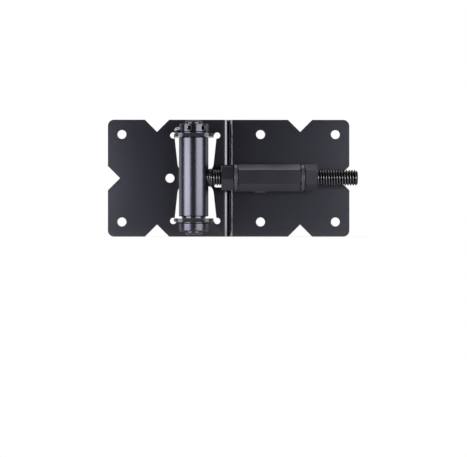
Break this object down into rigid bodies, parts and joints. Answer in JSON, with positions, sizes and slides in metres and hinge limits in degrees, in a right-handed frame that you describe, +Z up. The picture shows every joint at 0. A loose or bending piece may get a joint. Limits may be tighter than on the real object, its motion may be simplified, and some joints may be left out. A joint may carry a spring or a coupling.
{
  "type": "self-closing gate hinge",
  "caption": "Face-mounted self-closing gate hinge: a sprung barrel on a vertical pin between two bent ears, and a threaded rod with a captive long nut that sets the gate gap.",
  "frame": {"origin": "on the back face of the post leaf, level with the middle of the hinge pin and straight behind it", "axes": "+X from the post leaf to the gate leaf, +Y into the post behind the leaves, +Z up along the hinge pin"},
  "size_m": [0.1985, 0.0519, 0.0936],
  "materials": {
    "black_powder_coat": "satin black powder coat with a fine orange peel",
    "black_gloss_coat": "smoother and glossier black coat on turned parts",
    "black_oxide": "black finish on machined bar, half gloss",
    "dark_steel": "turned steel, oiled",
    "black_acetal": "turned black acetal",
    "spring_steel": "oil-tempered wire",
    "zinc_plate": "bright zinc plate"
  },
  "bodies": {
    "post_side": {"post_leaf": "black_powder_coat", "hinge_pin": "black_gloss_coat", "top_washer": "black_gloss_coat", "bottom_washer": "black_gloss_coat", "bottom_collar": "black_gloss_coat", "stop_pin": "black_oxide"},
    "tension_ring": {"tension_collar": "black_gloss_coat", "spring_drive_plug": "dark_steel"},
    "tension_lock": {"tension_pin": "zinc_plate"},
    "barrel_side": {"barrel_tube": "black_gloss_coat", "upper_bushing": "black_acetal", "lower_bushing": "dark_steel", "torsion_spring": "spring_steel", "adjusting_rod": "black_oxide", "rod_weld": "black_gloss_coat"},
    "gate_side": {"gate_leaf": "black_powder_coat", "yoke_bracket": "black_powder_coat", "yoke_welds": "black_powder_coat"},
    "long_nut": {"adjusting_nut": "black_oxide"},
    "inner_nut": {"inner_lock_nut": "black_oxide"},
    "outer_nut": {"outer_lock_nut": "black_oxide"}
  },
  "joints": [
    {"name": "hinge_swing", "type": "hinge", "parent": "post_side", "child": "barrel_side", "pos_m": [0, -0.0197, 0], "axis": [0, 0, -1], "range_deg": [0, 120], "stiffness_Nm_per_rad": 0.78, "springref_deg": -180, "deforming": ["torsion_spring"]},
    {"name": "gap_adjust", "type": "slide", "parent": "barrel_side", "child": "gate_side", "axis": [1, 0, 0], "range_m": [0, 0.025]},
    {"name": "adjusting_nut_turn", "type": "hinge", "parent": "gate_side", "child": "long_nut", "pos_m": [0.06, -0.0197, 0], "axis": [1, 0, 0], "range_deg": [0, 4254]},
    {"name": "inner_nut_turn", "type": "hinge", "parent": "gate_side", "child": "inner_nut", "pos_m": [0.0269, -0.0197, 0], "axis": [1, 0, 0], "range_deg": [0, 4254]},
    {"name": "outer_nut_turn", "type": "hinge", "parent": "gate_side", "child": "outer_nut", "pos_m": [0.0928, -0.0197, 0], "axis": [1, 0, 0], "range_deg": [0, 4254]},
    {"name": "tension_collar_turn", "type": "hinge", "parent": "post_side", "child": "tension_ring", "pos_m": [0, -0.0197, 0], "axis": [0, 0, 1], "range_deg": [0, 180], "deforming": ["torsion_spring"]},
    {"name": "tension_pin_pull", "type": "slide", "parent": "tension_ring", "child": "tension_lock", "axis": [-0.9763, -0.2164, 0], "range_m": [0, 0.012]}
  ],
  "couplings": [
    {"joint": "adjusting_nut_turn", "follows": "gap_adjust", "rad_per_m": 2968.4},
    {"joint": "inner_nut_turn", "follows": "gap_adjust", "rad_per_m": 2968.4},
    {"joint": "outer_nut_turn", "follows": "gap_adjust", "rad_per_m": 2968.4}
  ]
}
